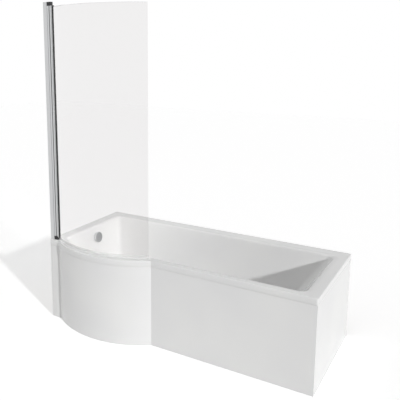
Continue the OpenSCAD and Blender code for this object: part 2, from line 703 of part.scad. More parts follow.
module wall_channel() color("silver") difference() {
  translate([xl, pivot[1] - channel_w / 2, rim_h]) difference() {
    cube([channel_d, channel_w, screen_h]);
    translate([channel_t, channel_t, -over]) cube([channel_d, channel_w - 2 * channel_t, screen_h + 2 * over]);
  }
  for (k = [-1, 0, 1]) translate([xl - over, pivot[1], rim_h + screen_h / 2 + k * wall_screw_pitch])
    rotate([0, 90, 0]) cylinder(h = channel_t + 2 * over, r = wall_screw_r);
  for (z = post_screw_zs) translate([xl + channel_d - 9, pivot[1] + channel_w / 2 + over, z])
    rotate([90, 0, 0]) cylinder(h = channel_t + 2 * over, r = post_screw_r + gap);
}

post_z = rim_h + bracket_h;
post_top = screen_top - bracket_h;
post_screw_r = 2;
post_screw_zs = [for (k = [-1, 0, 1]) rim_h + screen_h / 2 + k * 600];
post_side = (channel_w - 2 * channel_t - 2 * post_gap) / 2;
// Post that slides in the wall channel, with a rib beside the barrel
module pivot_post() color("silver") difference() {
  translate([xl, pivot[1], post_z]) linear_extrude(post_top - post_z) difference() {
    translate([post_x0, -post_side]) square([post_x1 - post_x0, 2 * post_side]);
    translate([post_x0 - over, -post_side + 2]) square([channel_d - post_x0, 2 * post_side - 4]);
    translate([channel_d + 2, -post_side + 2]) square([post_x1 - channel_d - 4, 2 * post_side - 4]);
  }
  for (z = post_screw_zs) translate([xl + channel_d - 9, pivot[1] + channel_w / 2 + over, z])
    rotate([90, 0, 0]) cylinder(h = channel_w / 2 - post_side + 2 + 2 * over, r = post_screw_r + fit);
}
module post_screws() color("silver") for (z = post_screw_zs)
  translate([xl + channel_d - 9, pivot[1] + channel_w / 2, z]) rotate([90, 0, 0]) {
    cylinder(h = channel_w / 2 - post_side + 3, r = post_screw_r);
    translate([0, 0, -1.6]) cylinder(h = 1.6, r1 = post_screw_r * 1.3, r2 = post_screw_r * 2);
  }

// Block over each end of the post, that carries a pivot pin
bracket_r = barrel_r + 2;
module pivot_bracket(z) color("#2b2b2d") difference() {
  translate([xl, pivot[1], z]) linear_extrude(bracket_h) difference() {
    union() {
      translate([channel_d + gap, -bracket_r]) square([pivot_x - channel_d - gap, 2 * bracket_r]);
      translate([post_x0, -post_side]) square([channel_d, 2 * post_side]);
      translate([pivot_x, 0]) circle(bracket_r);
    }
  }
  at_pivot() translate([0, 0, z - over]) cylinder(h = bracket_h + 2 * over, r = pin_r + fit);
}
module pivot_bracket_top() pivot_bracket(post_top);
module pivot_bracket_bottom() pivot_bracket(rim_h);

pin_in = 18;           // pin's length inside the barrel
module pivot_pin_top() color("silver") at_pivot() translate([0, 0, post_top - pin_in])
  cylinder(h = pin_in + bracket_h - 2, r = pin_r);
module pivot_pin_bottom() color("silver") at_pivot() translate([0, 0, rim_h + 2])
  cylinder(h = pin_in + bracket_h - 2, r = pin_r);

// --- Screen: swinging side ---
hinge_z = post_z + 0.6;
hinge_top = post_top - 0.6;
barrel_bore = pin_r + 2;
bush_l = pin_in - 1;
bush_rim = 0.3;
module pivot_bush(z) color("white") at_pivot() translate([0, 0, z]) difference() {
  cylinder(h = bush_l, r = barrel_bore - fit);
  translate([0, 0, -over]) cylinder(h = bush_l + 2 * over, r = pin_r + fit);
}
module pivot_bush_bottom() pivot_bush(hinge_z - bush_rim);
module pivot_bush_top() pivot_bush(hinge_top - bush_l + bush_rim);

// Circle of the glass: through the pivot and the free edge, bulging over the bow's rim
glass_sag = bow_out - glass_back + pivot_y;
glass_r = (pow(glass_span / 2, 2) + pow(glass_sag, 2)) / (2 * glass_sag);
glass_c = pivot + [glass_span / 2, glass_r - glass_sag];
half_a = asin(glass_span / 2 / glass_r);      // half the angle of the whole arc
glass_from = 20;       // arc length from the pivot to the glass edge
clamp_to = 40;         // arc length from the pivot to the clamp's end
deg_mm = 180 / (PI * glass_r);
glass_z = rim_h + glass_gap;

// Sweeps a radial section along the glass circle between two arc lengths
module along_glass(s0, s1) translate([glass_c[0], glass_c[1], 0])
  rotate([0, 0, 270 - half_a + s0 * deg_mm])
    rotate_extrude(angle = (s1 - s0) * deg_mm, $fn = 360) children();
glass_len = 2 * half_a / deg_mm;

module glass_panel() color("azure", 0.35) along_glass(glass_from, glass_len)
  translate([glass_r - glass_t / 2, glass_z]) square([glass_t, glass_h]);

gasket_t = 1.5;
gasket_in = glass_t / 2 + fit;                // inner and outer face of the gasket, from the
gasket_out = gasket_in + gasket_t;            // middle of the glass
clamp_gap = 0.2;                              // room for the glass's curve in the straight slot
clamp_wall = 3;
clamp_half = gasket_out + clamp_gap + clamp_wall;
clamp_mid = (glass_from + clamp_to) / 2;
clamp_a = -half_a + clamp_mid * deg_mm;       // direction of the glass in the clamp
clamp_shift = -clamp_mid * sin(clamp_mid * deg_mm / 2);
// Barrel on the pivot with a clamp for the edge of the glass
module hinge_profile() color("silver") at_pivot() difference() {
  translate([0, 0, hinge_z]) linear_extrude(hinge_top - hinge_z) difference() {
    union() {
      circle(barrel_r);
      rotate(clamp_a) {
        translate([0, clamp_shift - 3.5]) square([glass_from, 7]);
        translate([glass_from - 4, clamp_shift - clamp_half]) square([clamp_to - glass_from + 4, 2 * clamp_half]);
      }
    }
    circle(barrel_bore);
    rotate(clamp_a) translate([glass_from - 1, clamp_shift - clamp_half + clamp_wall])
      square([clamp_to, 2 * (clamp_half - clamp_wall)]);
  }
}
// Black gasket on both faces of the glass, turned out over the clamp's lips
gasket_lip = 2;        // thickness of the part over the lips
module gasket_run(s0, s1, half) along_glass(s0, s1) difference() {
  translate([glass_r - half, hinge_z]) square([2 * half, hinge_top - hinge_z]);
  translate([glass_r - gasket_in, glass_z - over]) square([2 * gasket_in, glass_h + 2 * over]);
}
module glazing_gasket() color("#161616") {
  gasket_run(glass_from, clamp_to + gap + gasket_lip, gasket_out);
  gasket_run(clamp_to + gap, clamp_to + gap + gasket_lip, clamp_half - gasket_in / 6);
}

seal_up = 12;          // how far the seal's lips rise beside the glass
seal_lip = 1.2;
seal_in = glass_t / 2;
fin_x = 2.3;           // the fin leans out to here
fin_z = 0.5 - glass_gap;
// Drip seal clipped on the bottom edge of the glass
module bottom_seal() color("#5c5f61") along_glass(clamp_to + 4, glass_len)
  translate([glass_r, glass_z]) polygon([
    [seal_in, 0], [seal_in, seal_up], [seal_in + seal_lip, seal_up], [seal_in + seal_lip, -2], [2, -2],
    [fin_x + 1.2, fin_z], [fin_x, fin_z], [-2, -2], [-seal_in - seal_lip, -2],
    [-seal_in - seal_lip, seal_up], [-seal_in, seal_up], [-seal_in, 0]]);

bath_shell();
rim_battens();
bow_batten();
base_board();
cradle_left();
cradle_right();
cradle_screws();
insert_nuts();
lock_nuts();
stud_left_front();
stud_left_back();
stud_right_front();
stud_right_back();
pad_left_front();
pad_left_back();
pad_right_front();
pad_right_back();
front_panel();
end_panel();
panel_clips();
plinth_battens();
wall_brackets();
waste_flange();
waste_top_seal();
waste_under_seal();
waste_body();
waste_plug();
plug_seal();
plug_stem();
lift_lever();
lever_pin();
overflow_body();
overflow_seal();
overflow_ring();
overflow_knob();
overflow_pipe();
wall_channel();
pivot_post();
post_screws();
pivot_bracket_top();
pivot_bracket_bottom();
pivot_pin_top();
pivot_pin_bottom();
pivot_bush_top();
pivot_bush_bottom();
hinge_profile();
glazing_gasket();
glass_panel();
bottom_seal();
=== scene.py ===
import bpy
import bmesh
import math
import numpy as np
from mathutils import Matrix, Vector


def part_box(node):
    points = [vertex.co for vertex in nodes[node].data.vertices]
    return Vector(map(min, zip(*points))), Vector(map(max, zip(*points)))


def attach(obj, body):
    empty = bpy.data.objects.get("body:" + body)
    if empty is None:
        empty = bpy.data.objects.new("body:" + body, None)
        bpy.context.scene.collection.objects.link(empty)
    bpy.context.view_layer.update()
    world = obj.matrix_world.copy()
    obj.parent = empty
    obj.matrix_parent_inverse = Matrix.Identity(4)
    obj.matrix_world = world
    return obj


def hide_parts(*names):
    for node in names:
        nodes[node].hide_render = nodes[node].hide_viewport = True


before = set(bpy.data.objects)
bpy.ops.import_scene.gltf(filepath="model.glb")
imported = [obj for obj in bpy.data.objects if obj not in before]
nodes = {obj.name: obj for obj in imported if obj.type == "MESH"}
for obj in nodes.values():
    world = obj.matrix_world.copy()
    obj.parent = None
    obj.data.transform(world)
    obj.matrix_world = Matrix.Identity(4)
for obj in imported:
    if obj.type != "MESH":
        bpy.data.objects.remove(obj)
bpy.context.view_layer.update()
print("frame loaded:", len(nodes), "nodes")


def linearColour(hexCode):
    # sRGB hex to linear: divide by 12.92 below the toe, else ((c + 0.055) / 1.055) ^ 2.4
    parts = np.array([int(hexCode[i:i + 2], 16) for i in (1, 3, 5)]) / 255
    linear = np.where(parts <= 0.04045, parts / 12.92, ((parts + 0.055) / 1.055) ** 2.4)
    return (*linear.tolist(), 1.0)


def addNode(tree, kind, settings=None, links=None):
    # one node: settings are attributes or input values, links are input -> output socket
    node = tree.nodes.new(kind)
    for key, value in (settings or {}).items():
        if isinstance(key, str) and hasattr(node, key) and key not in node.inputs:
            setattr(node, key, value)
        else:
            node.inputs[key].default_value = value
    for key, socket in (links or {}).items():
        tree.links.new(socket, node.inputs[key])
    return node


def arcPoints(centre, radius, startTurn, endTurn, count):
    # centre + radius * (cos, sin) of evenly spaced turns
    turns = np.radians(np.linspace(startTurn, endTurn, count))
    return np.asarray(centre) + radius * np.column_stack([np.cos(turns), np.sin(turns)])


def turnOf(vector):
    # direction of a plan vector, 0 to 360 degrees
    return math.degrees(math.atan2(vector[1], vector[0])) % 360


def boxOf(node):
    # lowest corner, highest corner and middle of a CAD node in millimetres
    low, high = [np.array(c) * 1000 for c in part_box(node)]
    return low, high, (low + high) / 2


def gridFaces(rows, columns, closeRows=False, closeColumns=True):
    # quads of a grid whose rows are stacked and whose columns run round
    row = np.arange(rows if closeRows else rows - 1)
    column = np.arange(columns if closeColumns else columns - 1)
    r, c = [a.ravel() for a in np.meshgrid(row, column, indexing="ij")]
    r2, c2 = (r + 1) % rows, (c + 1) % columns
    return np.column_stack([r * columns + c, r * columns + c2, r2 * columns + c2, r2 * columns + c])


def outerRows(rows, columns):
    # first and last row of a grid, as the rings that close it
    last = (rows - 1) * columns
    return [range(columns), range(last, last + columns)]


def outerColumns(rows, columns, start=0):
    # first and last column of a grid, as the rings that close it
    end = start + rows * columns
    return [range(start, end, columns), range(start + columns - 1, end, columns)]


def makeMesh(name, points, faces, caps=(), sharpAngle=35):
    # points in millimetres, faces as quads, caps as longer rings; poles and seams are merged
    mesh = bpy.data.meshes.new(name)
    mesh.from_pydata((np.asarray(points).reshape(-1, 3) * 0.001).tolist(), [],
                     faces.tolist() + [list(ring) for ring in caps])
    work = bmesh.new()
    work.from_mesh(mesh)
    bmesh.ops.remove_doubles(work, verts=work.verts, dist=2e-6)
    bmesh.ops.dissolve_degenerate(work, edges=work.edges, dist=1e-6)
    bmesh.ops.recalc_face_normals(work, faces=work.faces)
    work.to_mesh(mesh)
    work.free()
    mesh.shade_smooth()
    mesh.set_sharp_from_angle(angle=math.radians(sharpAngle))
    mesh.update()
    return mesh


def facePlaces(mesh):
    # centres in millimetres and outward directions of all faces
    count = len(mesh.polygons)
    centres, normals = np.zeros(count * 3, np.float32), np.zeros(count * 3, np.float32)
    mesh.polygons.foreach_get("center", centres)
    mesh.polygons.foreach_get("normal", normals)
    return centres.reshape(-1, 3) * 1000, normals.reshape(-1, 3)


def placePiece(name, mesh, body, materials, node):
    # a piece that rides on a body and stands for a CAD node, which it hides
    piece = bpy.data.objects.new(name, mesh)
    bpy.context.scene.collection.objects.link(piece)
    for material in materials:
        mesh.materials.append(material)
    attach(piece, body)
    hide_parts(node)
    return piece


def latheMesh(name, profile, origin, axes, count=96, sharpAngle=35):
    # a profile of (radius, height) turned round the third of three axes
    profile = np.asarray(profile, float)
    turns = np.linspace(0, 2 * np.pi, count, endpoint=False)
    ax, ay, az = [np.asarray(a, float) for a in axes]
    ring = np.cos(turns)[:, None] * ax + np.sin(turns)[:, None] * ay
    points = (np.asarray(origin, float) + profile[:, 0, None, None] * ring[None]
              + profile[:, 1, None, None] * az)
    return makeMesh(name, points, gridFaces(len(profile), count), sharpAngle=sharpAngle)


def roundCorners(outline, radius, steps):
    # each corner of a closed outline becomes an arc through its two tangent points
    outline = np.asarray(outline, float)
    before, after = np.roll(outline, 1, 0) - outline, np.roll(outline, -1, 0) - outline
    u = before / np.linalg.norm(before, axis=1, keepdims=True)
    v = after / np.linalg.norm(after, axis=1, keepdims=True)
    half = np.arccos(np.clip(np.sum(u * v, 1, keepdims=True), -1, 1)) / 2
    middle = outline + (u + v) / np.linalg.norm(u + v, axis=1, keepdims=True) * radius / np.sin(half)
    reach = radius / np.tan(half)
    a, b = outline + u * reach - middle, outline + v * reach - middle
    t = np.linspace(0, 1, steps)[None, :, None]
    arc = a[:, None] * (1 - t) + b[:, None] * t
    arc = middle[:, None] + arc / np.linalg.norm(arc, axis=2, keepdims=True) * radius
    return arc.reshape(-1, 2)


def startFinish(name):
    # an empty material with its shader and output, and the place on the piece in metres
    material = bpy.data.materials.new(name)
    material.use_nodes = True
    tree = material.node_tree
    tree.nodes.clear()
    output = addNode(tree, "ShaderNodeOutputMaterial")
    shader = addNode(tree, "ShaderNodeBsdfPrincipled")
    tree.links.new(shader.outputs[0], output.inputs["Surface"])
    place = addNode(tree, "ShaderNodeTexCoord").outputs["Object"]
    return material, tree, shader, output, place


def mottled(tree, place, low, high, size, detail=3.0, stretch=(1, 1, 1)):
    # two colours that change over the middle of a noise of a real size in metres, and the noise itself
    placed = addNode(tree, "ShaderNodeMapping", {"Scale": stretch}, {"Vector": place}).outputs[0]
    noise = addNode(tree, "ShaderNodeTexNoise", {"Scale": 1 / size, "Detail": detail}, {"Vector": placed})
    ramp = addNode(tree, "ShaderNodeValToRGB", {}, {0: noise.outputs[0]})
    start, end = ramp.color_ramp.elements
    start.position, end.position = 0.35, 0.65
    start.color, end.color = linearColour(low), linearColour(high)
    return ramp.outputs[0], noise.outputs[0]


def dressShader(tree, shader, colour, height, roughness, bump, depth):
    # a colour pattern, an even roughness, and a relief of a depth in metres
    relief = addNode(tree, "ShaderNodeBump", {"Strength": bump, "Distance": depth}, {"Height": height})
    tree.links.new(relief.outputs[0], shader.inputs["Normal"])
    tree.links.new(colour, shader.inputs["Base Color"])
    shader.inputs["Roughness"].default_value = roughness


acrylic = {"light": "#f4f4f3", "dark": "#f0f0f0", "cloud": 0.35, "roughness": 0.12, "ior": 1.49,
           "ripple": 0.045, "bump": 0.06, "depth": 0.0004}


def castAcrylic(name):
    # cast acrylic sheet drawn over a mould: deep gloss, with a slow ripple of a few centimetres
    material, tree, shader, _, place = startFinish(name)
    colour, _ = mottled(tree, place, acrylic["dark"], acrylic["light"], acrylic["cloud"], 1.0)
    ripple = addNode(tree, "ShaderNodeTexNoise", {"Scale": 1 / acrylic["ripple"], "Detail": 1.0},
                     {"Vector": place})
    dressShader(tree, shader, colour, ripple.outputs[0], acrylic["roughness"], acrylic["bump"],
                acrylic["depth"])
    shader.inputs["IOR"].default_value = acrylic["ior"]
    return material


# strands: about 260 lie side by side in a metre, and each is drawn out 12 times, in three directions
laminate = {"dark": "#ebe6da", "light": "#f3efe5", "cloud": 0.12, "strands": 260.0, "drawnOut": 12,
            "turns": ((0.34, -1.01), (0.67, 0.70), (0.71, 3.55)), "strandStart": 0.5, "strandEnd": 0.72,
            "resin": "#dbd5c6", "strand": "#ffffff", "mix": 0.45, "roughness": 0.5, "bump": 0.7,
            "depth": 0.0012}


def glassFibre(name):
    # chopped glass strands sprayed on with resin: cream, matt, with a felt of strands 25 to 50 mm long
    # drawn several times too thick, so that they show, and resin runs a hand wide
    material, tree, shader, _, place = startFinish(name)
    colour, _ = mottled(tree, place, laminate["dark"], laminate["light"], laminate["cloud"], 2.0)
    felt = None
    for turnX, turnZ in laminate["turns"]:
        placed = addNode(tree, "ShaderNodeMapping", {
            "vector_type": "TEXTURE", "Rotation": (turnX, 0, turnZ),
            "Scale": (1, laminate["drawnOut"], 1)}, {"Vector": place}).outputs[0]
        strand = addNode(tree, "ShaderNodeTexNoise", {"Scale": laminate["strands"], "Detail": 2.0},
                         {"Vector": placed}).outputs[0]
        felt = strand if felt is None else addNode(
            tree, "ShaderNodeMath", {"operation": "MAXIMUM"}, {0: felt, 1: strand}).outputs[0]
    ramp = addNode(tree, "ShaderNodeValToRGB", {}, {0: felt})
    start, end = ramp.color_ramp.elements
    start.position, end.position = laminate["strandStart"], laminate["strandEnd"]
    start.color, end.color = linearColour(laminate["resin"]), linearColour(laminate["strand"])
    both = addNode(tree, "ShaderNodeMixRGB", {"blend_type": "MULTIPLY", "Fac": laminate["mix"]},
                   {"Color1": colour, "Color2": ramp.outputs[0]})
    dressShader(tree, shader, both.outputs[0], felt, laminate["roughness"], laminate["bump"],
                laminate["depth"])
    return material


def plainFinish(name, low, high, size, roughness, metallic=0.0, ior=None, detail=3.0,
                stretch=(1, 1, 1), bump=0.1, depth=0.0002):
    # a base whose colour and surface vary by a noise of a real size
    material, tree, shader, _, place = startFinish(name)
    colour, noise = mottled(tree, place, low, high, size, detail, stretch)
    dressShader(tree, shader, colour, noise, roughness, bump, depth)
    shader.inputs["Metallic"].default_value = metallic
    if ior:
        shader.inputs["IOR"].default_value = ior
    return material


# a wave of scale 1 comes round about every 0.3 m, and about 900 fibres lie in a metre
wood = {"drawnOut": 0.06, "wave": 0.3, "wander": 6.0, "fibres": 900.0, "bump": 0.4, "depth": 0.0003}


def timber(name, low, high, ringWidth, along, roughness=0.62):
    # sawn timber: growth rings drawn out along the piece, with a fine fibre over them
    material, tree, shader, _, place = startFinish(name)
    stretch = [1.0, 1.0, 1.0]
    stretch[along] = wood["drawnOut"]
    placed = addNode(tree, "ShaderNodeMapping", {"Scale": stretch}, {"Vector": place}).outputs[0]
    rings = addNode(tree, "ShaderNodeTexWave", {
        "Scale": wood["wave"] / ringWidth, "Distortion": wood["wander"], "Detail": 3.0,
        "Detail Scale": 1.5, "wave_type": "RINGS"}, {"Vector": placed})
    fibre = addNode(tree, "ShaderNodeTexNoise", {"Scale": wood["fibres"], "Detail": 4.0},
                    {"Vector": placed})
    ramp = addNode(tree, "ShaderNodeValToRGB", {}, {0: rings.outputs[1]})
    start, end = ramp.color_ramp.elements
    start.color, end.color = linearColour(low), linearColour(high)
    dressShader(tree, shader, ramp.outputs[0], fibre.outputs[0], roughness, wood["bump"], wood["depth"])
    return material


screenGlass = {"tint": "#f0efef", "shade": "#f3f3f3", "roughness": 0.0, "ior": 1.5}


def clearGlass(name):
    # toughened float glass: clear with a faint grey
    material, tree, shader, output, _ = startFinish(name)
    shader.inputs["Base Color"].default_value = linearColour(screenGlass["tint"])
    shader.inputs["Roughness"].default_value = screenGlass["roughness"]
    shader.inputs["IOR"].default_value = screenGlass["ior"]
    shader.inputs["Transmission Weight"].default_value = 1.0
    # shadow rays go straight through and are only shaded, so that light reaches what is behind
    path = addNode(tree, "ShaderNodeLightPath")
    clear = addNode(tree, "ShaderNodeBsdfTransparent", {"Color": linearColour(screenGlass["shade"])})
    both = addNode(tree, "ShaderNodeMixShader", {}, {0: path.outputs["Is Shadow Ray"],
                                                     1: shader.outputs[0], 2: clear.outputs[0]})
    tree.links.new(both.outputs[0], output.inputs["Surface"])
    return material


softPvc = {"dark": "#e9eae9", "light": "#eff0ef", "cloud": 0.02, "roughness": 0.4, "ior": 1.53,
           "alpha": 0.14}


def clearSeal(name):
    # extruded soft PVC: clear, with a milkiness that adds up where several walls lie behind each other
    material, tree, shader, _, place = startFinish(name)
    colour, _ = mottled(tree, place, softPvc["dark"], softPvc["light"], softPvc["cloud"])
    tree.links.new(colour, shader.inputs["Base Color"])
    shader.inputs["Roughness"].default_value = softPvc["roughness"]
    shader.inputs["IOR"].default_value = softPvc["ior"]
    shader.inputs["Alpha"].default_value = softPvc["alpha"]
    return material


finishes = {
    "tub": castAcrylic("castAcrylicWhite"),
    "panel": castAcrylic("formedAcrylicPanel"),
    "laminate": glassFibre("glassFibreLaminate"),
    # satin anodised extrusion: fine die lines run up the bar
    "aluminium": plainFinish("anodisedAluminium", "#d6d7d8", "#e1e2e2", 0.0012, 0.26, 1.0,
                             stretch=(1, 1, 0.01), bump=0.12, depth=0.00005),
    # the fixed bars, in a duller anodising than the moving one, and darker by painted shade: the shadow in
    # the gap beside the post and a dark reflection
    "wallAluminiumPaintedDark": plainFinish("dullAluminiumPaintedDarker", "#c6c7c8", "#d1d2d3", 0.0012, 0.3, 1.0,
                                 stretch=(1, 1, 0.01), bump=0.12, depth=0.00005),
    # black coat baked on die cast metal: even satin
    "blackPaint": plainFinish("blackPowderCoat", "#141416", "#1c1c1e", 0.002, 0.38, bump=0.15,
                              depth=0.00008),
    # extruded rubber: dull black with a soft bloom
    "gasket": plainFinish("blackGasketRubber", "#101011", "#1a1a1b", 0.004, 0.55, bump=0.1),
    # punched rubber sheet: black and matt
    "sealRubber": plainFinish("washerRubber", "#161616", "#202020", 0.004, 0.7),
    "drip": clearSeal("clearPvcSeal"),
    # polished plate over brass: mirrors the white tub round it
    "chrome": plainFinish("polishedChromePlate", "#d3d5d6", "#dadbdc", 0.05, 0.1, 1.0, bump=0.0),
    # satin plate on the knob's face: rougher than its edge, and darker by a painted dark reflection
    "satinPaintedDarkChrome": plainFinish("satinChromePaintedDarkFace", "#adafb1", "#b6b8ba", 0.003, 0.24, 1.0, bump=0.05,
                               depth=0.00003),
    # injection moulded polypropylene: waxy white
    "polypropylene": plainFinish("whitePolypropylene", "#e2e2df", "#eae9e6", 0.02, 0.42, ior=1.49),
    # injection moulded nylon: black feet with a dull sheen, and cream bushes left undyed
    "blackNylon": plainFinish("blackMouldedNylon", "#1a1a1b", "#242425", 0.003, 0.5, ior=1.53),
    "nylon": plainFinish("naturalNylon", "#dcdad0", "#e6e4db", 0.01, 0.4, ior=1.53),
    # bar turned to size and left bare: a warm, slightly dull yellow
    "brass": plainFinish("turnedBrass", "#b79a5c", "#c9ab6b", 0.004, 0.25, 1.0),
    # drawn bar with a brushed skin: plain mid grey
    "stainless": plainFinish("brushedStainless", "#a9abac", "#b9bbbc", 0.002, 0.3, 1.0),
    # zinc plate on pressed steel: cool grey with a faint spangle of about 6 mm
    "zinc": plainFinish("zincPlatedSteel", "#a2a6a9", "#b8bcbf", 0.006, 0.36, 1.0, detail=5.0, bump=0.06),
    "softwood": timber("sawnSoftwood", "#b98f5c", "#d9b784", 0.006, 0),
    "plywood": timber("sawnPlywood", "#a9875b", "#cbab7d", 0.0035, 0, 0.58),
    # pressed chips of 2 to 8 mm under a resin skin
    "chipboard": plainFinish("chipboardPanel", "#9a7a50", "#c4a478", 0.005, 0.7, detail=6.0, bump=0.5,
                             depth=0.0004),
    "glass": clearGlass("toughenedGlass"),
}
print("finishes made:", len(finishes))

legNames = ("left_front", "left_back", "right_front", "right_back")
cadFinish = {
    "tub": ["bath_shell"],
    "panel": ["front_panel", "end_panel"],
    "softwood": ["rim_battens", "plinth_battens"],
    "plywood": ["bow_batten"],
    "chipboard": ["base_board"],
    "zinc": ["cradle_left", "cradle_right", "wall_brackets", "panel_clips", "cradle_screws", "insert_nuts",
             "lock_nuts", "lever_pin"] + ["stud_" + key for key in legNames],
    "blackNylon": ["pad_" + key for key in legNames],
    "sealRubber": ["waste_top_seal", "waste_under_seal", "plug_seal", "overflow_seal"],
    "polypropylene": ["waste_body", "overflow_body", "overflow_pipe", "lift_lever"],
    "brass": ["plug_stem"],
    "chrome": ["waste_flange", "waste_plug", "overflow_ring", "overflow_knob"],
    "aluminium": ["hinge_profile"],
    # the wall channel and the post take the aluminium painted darker with shade and dark reflection
    "wallAluminiumPaintedDark": ["wall_channel", "pivot_post"],
    "blackPaint": ["pivot_bracket_top", "pivot_bracket_bottom"],
    "stainless": ["post_screws", "pivot_pin_top", "pivot_pin_bottom"],
    "nylon": ["pivot_bush_top", "pivot_bush_bottom"],
    "gasket": ["glazing_gasket"],
    "glass": ["glass_panel"],
    "drip": ["bottom_seal"],
}
for finish, names in cadFinish.items():
    for name in names:
        mesh = nodes[name].data
        mesh.materials.clear()
        mesh.materials.append(finishes[finish])


tub = {"length": 1675, "width": 700, "bowOut": 115, "bowRadius": 572, "bowX": 395, "stripOut": 15,
       "rimHeight": 512, "wellDepth": 385, "wall": 5, "lip": 36, "lipEdge": 1, "lipInside": 0.5,
       "rimLeft": 66, "rimRight": 43, "rimBack": 75, "rimFront": 36, "rimBow": 50, "rollHeight": 12,
       "rollRight": 28, "edge": 4, "corner": 12, "wallLean": 8, "restLean": 35, "floorRadius": 70,
       "floorGrow": 20, "cornerLeftBack": 30, "cornerLeftFront": 70, "cornerRightFront": 62,
       "cornerRightBack": 45, "creaseInside": 90, "creaseOutside": 4, "stripRadius": 12}
# how many points each stretch of a ring has, and how many rings each turn of the skin
fine = {"corner": 17, "strip": 9, "blend": 9, "bow": 121, "crease": 15, "floor": 25, "roll": 15, "edge": 8,
        "rollUnder": 7, "floorUnder": 13}
xLeft, xRight = -tub["length"] / 2, tub["length"] / 2
yWall = (tub["width"] + tub["bowOut"]) / 2
yFront = yWall - tub["width"]
bowCentre = np.array([xLeft + tub["bowX"], yFront - tub["bowOut"] + tub["bowRadius"]])


def creaseCentre(radius, bow, front, side):
    # circle outside the bow that touches it and a straight line along X
    reach = math.sqrt((bow + radius) ** 2 - (bowCentre[1] - front + radius) ** 2)
    return np.array([bowCentre[0] + side * reach, front - radius])


def rimRing(inset):
    # outer outline of the rim: corners, creases and the bow's arc, all drawn in by one distance
    corner, bow = max(tub["corner"] - inset, 1), tub["bowRadius"] - inset
    front, strip = yFront + inset, yFront - tub["stripOut"] + inset
    right = creaseCentre(tub["creaseOutside"] + inset, bow, front, 1)
    left = creaseCentre(tub["stripRadius"] + inset, bow, strip, -1)
    turnLeft, turnRight = turnOf(left - bowCentre), turnOf(right - bowCentre)
    return np.vstack([
        arcPoints([xLeft + inset + corner, yWall - inset - corner], corner, 90, 180, fine["corner"]),
        arcPoints([xLeft + inset + corner, strip + corner], corner, 180, 270, fine["strip"]),
        arcPoints(left, tub["stripRadius"] + inset, 90, turnLeft - 180, fine["blend"]),
        arcPoints(bowCentre, bow, turnLeft, turnRight, fine["bow"]),
        arcPoints(right, tub["creaseOutside"] + inset, turnRight - 180, 90, fine["crease"]),
        arcPoints([xRight - inset - corner, front + corner], corner, 270, 360, fine["corner"]),
        arcPoints([xRight - inset - corner, yWall - inset - corner], corner, 0, 90, fine["corner"])])


def wellRing(setIn, grow):
    # outline of the well, its sides set in by left, right, back, front and bow, its corners grown
    left, right = xLeft + setIn[0], xRight - setIn[1]
    back, front, bow = yWall - setIn[2], yFront + setIn[3], tub["bowRadius"] - setIn[4]
    r1, r2 = tub["cornerLeftBack"] + grow, tub["cornerLeftFront"] + grow
    r3, r4, r5 = tub["cornerRightFront"] + grow, tub["cornerRightBack"] + grow, tub["creaseInside"] - grow
    hubDown = math.sqrt((bow - r2) ** 2 - (bowCentre[0] - left - r2) ** 2)
    hub = np.array([left + r2, bowCentre[1] - hubDown])
    crease = creaseCentre(r5, bow, front, 1)
    turnHub, turnCrease = turnOf(hub - bowCentre), turnOf(crease - bowCentre)
    return np.vstack([
        arcPoints([left + r1, back - r1], r1, 90, 180, fine["corner"]),
        arcPoints(hub, r2, 180, turnHub, fine["strip"] + fine["blend"]),
        arcPoints(bowCentre, bow, turnHub, turnCrease, fine["bow"]),
        arcPoints(crease, r5, turnCrease - 180, 90, fine["crease"]),
        arcPoints([right - r3, front + r3], r3, 270, 360, fine["corner"]),
        arcPoints([right - r4, back - r4], r4, 0, 90, fine["corner"])])


def wellSet(depth, roll, bottom):
    # how far each side stands in at a depth, by the walls' lean and the two radii
    low, lean = tub["floorRadius"] * bottom, depth * math.tan(math.radians(tub["wallLean"]))
    rest = depth * math.tan(math.radians(tub["restLean"]))
    rollIn = tub["rollHeight"] * roll
    return np.array([tub["rimLeft"] + rollIn + lean + low,
                     tub["rimRight"] + tub["rollRight"] * roll + rest + low,
                     tub["rimBack"] + rollIn + lean + low,
                     tub["rimFront"] + rollIn + lean + low,
                     tub["rimBow"] + rollIn + lean + low])


def floorLevel(turn, out):
    # ring and height on the quarter circle from wall to floor, a skin's thickness out
    s, c = math.sin(math.radians(turn)), math.cos(math.radians(turn))
    depth = tub["wellDepth"] - tub["floorRadius"] * (1 - s)
    ring = wellRing(wellSet(depth, 1, 1 - c) - out * c, tub["floorGrow"] * s + out * c)
    return ring, tub["rimHeight"] - depth - out * s


def rollLevel(turn, out):
    # ring and height on the quarter circle from rim to wall, drawn out flatter at the right end
    s, c = math.sin(math.radians(turn)), math.cos(math.radians(turn))
    depth = tub["rollHeight"] * (1 - c)
    return wellRing(wellSet(depth, s, 0) - out * s, out * s), tub["rimHeight"] - depth - out * c


def tubLevels():
    # rings from the floor of the well up, over the rim, down the lip and back under
    rim, edge, wall, lipLow = tub["rimHeight"], tub["edge"], tub["wall"], tub["rimHeight"] - tub["lip"]
    levels = [floorLevel(t, 0) for t in np.linspace(90, 0, fine["floor"])]
    levels += [rollLevel(t, 0) for t in np.linspace(90, 0, fine["roll"])]
    for turn in np.radians(np.linspace(90, 0, fine["edge"])):
        levels.append((rimRing(edge * (1 - math.cos(turn))), rim - edge * (1 - math.sin(turn))))
    lipEdge, lipInside = tub["lipEdge"], tub["lipInside"]
    halfRound = 0.3 * lipEdge  # halfway round a quarter circle
    levels += [(rimRing(0), lipLow + lipEdge), (rimRing(halfRound), lipLow + halfRound),
               (rimRing(lipEdge), lipLow), (rimRing(wall - lipInside), lipLow),
               (rimRing(wall), lipLow + lipInside), (rimRing(wall), rim - wall)]
    levels += [rollLevel(t, wall) for t in np.linspace(0, 90, fine["rollUnder"])]
    levels += [floorLevel(t, wall) for t in np.linspace(0, 90, fine["floorUnder"])]
    return levels


